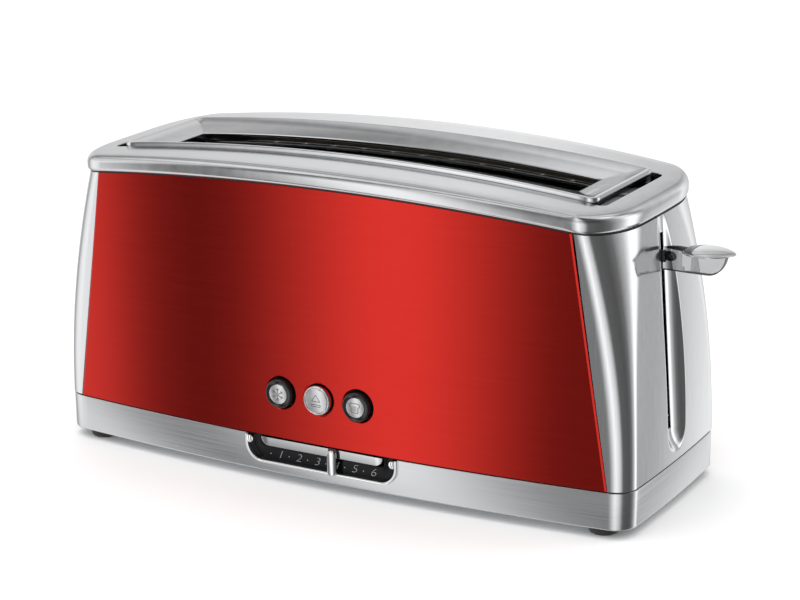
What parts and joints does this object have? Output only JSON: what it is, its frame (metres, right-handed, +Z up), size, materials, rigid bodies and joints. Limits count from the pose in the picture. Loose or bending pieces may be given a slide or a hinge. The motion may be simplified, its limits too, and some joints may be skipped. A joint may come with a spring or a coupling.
{
  "type": "pop up toaster",
  "caption": "Long single-slot pop-up toaster with an arched silver top frame, metallic red side panels, satin steel ends, side lever, push buttons and browning slider",
  "frame": {"origin": "middle of the overall footprint, lever included, on the surface the feet stand on", "axes": "+X along the length towards the lever end, +Y to the rear away from the controls, +Z up"},
  "size_m": [0.4326, 0.164, 0.2025],
  "materials": {
    "satin_steel": "satin brushed",
    "zinc_steel": "zinc plated, dull",
    "bright_steel": "bright drawn",
    "dark_steel": "blackened",
    "cast_alloy": "fine satin",
    "chrome_trim": "polished",
    "red_panel": "brushed, tinted metallic red lacquer",
    "black_rubber": "matte",
    "black_plastic": "fine texture",
    "black_gloss": "high gloss",
    "clear_acrylic": "clear smoky acrylic",
    "ivory_plastic": "moulded",
    "board_green": "solder mask",
    "mica_board": "layered mica sheet, dull",
    "heater_wire": "oxidised resistance ribbon",
    "copper_coil": "enamelled winding"
  },
  "bodies": {
    "housing": {"base_skirt": "satin_steel", "base_plate": "zinc_steel", "feet": "black_rubber", "base_screws": "dark_steel", "lower_seam_gasket": "black_rubber", "front_panel": "red_panel", "rear_panel": "red_panel", "end_cover_left": "satin_steel", "end_cover_right": "satin_steel", "upper_seam_gasket": "black_rubber", "top_rim": "cast_alloy", "slot_bezel": "cast_alloy", "chassis_floor": "zinc_steel", "chassis_plate_left": "zinc_steel", "chassis_plate_right": "zinc_steel", "reflector_front": "bright_steel", "reflector_rear": "bright_steel", "element_board_front": "mica_board", "element_board_rear": "mica_board", "element_wire_front": "heater_wire", "element_wire_rear": "heater_wire", "guide_rods": "bright_steel", "rod_bracket": "zinc_steel", "electromagnet": "dark_steel", "magnet_coil": "copper_coil", "button_housing": "black_plastic", "control_board": "board_green", "button_switches": "black_plastic", "browning_pot": "black_plastic", "control_bezel": "chrome_trim", "scale_plate": "black_gloss", "control_ledge": "cast_alloy", "cord_gland": "black_rubber", "terminal_block": "ivory_plastic"},
    "carriage": {"lever_arm": "dark_steel", "lever_keel": "clear_acrylic", "lever_cap": "cast_alloy", "carriage_bracket": "zinc_steel", "bread_rack": "bright_steel", "armature": "dark_steel", "return_spring": "bright_steel"},
    "browning_slider": {"browning_knob": "chrome_trim", "knob_arm": "black_gloss"},
    "left_button": {"button_left": "black_gloss", "button_left_cap": "cast_alloy"},
    "middle_button": {"button_middle": "chrome_trim", "button_middle_cap": "cast_alloy"},
    "right_button": {"button_right": "black_gloss", "button_right_cap": "cast_alloy"},
    "tray": {"crumb_tray": "bright_steel", "tray_handle": "black_plastic"},
    "front_guide": {"guide_front": "bright_steel"},
    "rear_guide": {"guide_rear": "bright_steel"}
  },
  "joints": [
    {"name": "lever_slide", "type": "slide", "parent": "housing", "child": "carriage", "axis": [0, 0, 1], "range_m": [-0.095, 0.009], "stiffness_N_per_m": 120, "springref_m": 0.0095, "deforming": ["return_spring"]},
    {"name": "browning_slide", "type": "slide", "parent": "housing", "child": "browning_slider", "axis": [1, 0, 0], "range_m": [-0.038, 0.028]},
    {"name": "left_press", "type": "slide", "parent": "housing", "child": "left_button", "axis": [0, 1, 0], "range_m": [0, 0.0022], "stiffness_N_per_m": 600, "springref_m": -0.001},
    {"name": "middle_press", "type": "slide", "parent": "housing", "child": "middle_button", "axis": [0, 1, 0], "range_m": [0, 0.0022], "stiffness_N_per_m": 600, "springref_m": -0.001},
    {"name": "right_press", "type": "slide", "parent": "housing", "child": "right_button", "axis": [0, 1, 0], "range_m": [0, 0.0022], "stiffness_N_per_m": 600, "springref_m": -0.001},
    {"name": "tray_slide", "type": "slide", "parent": "housing", "child": "tray", "axis": [0, 1, 0], "range_m": [0, 0.11]},
    {"name": "front_guide_swing", "type": "hinge", "parent": "housing", "child": "front_guide", "pos_m": [-0.01625, -0.0156, 0.044], "axis": [1, 0, 0], "range_deg": [-3.6, 0.4]},
    {"name": "rear_guide_swing", "type": "hinge", "parent": "housing", "child": "rear_guide", "pos_m": [-0.01625, 0.0156, 0.044], "axis": [1, 0, 0], "range_deg": [-0.4, 3.6]}
  ],
  "couplings": [
    {"joint": "front_guide_swing", "follows": "lever_slide", "rad_per_m": 0.643},
    {"joint": "rear_guide_swing", "follows": "lever_slide", "rad_per_m": -0.643}
  ]
}
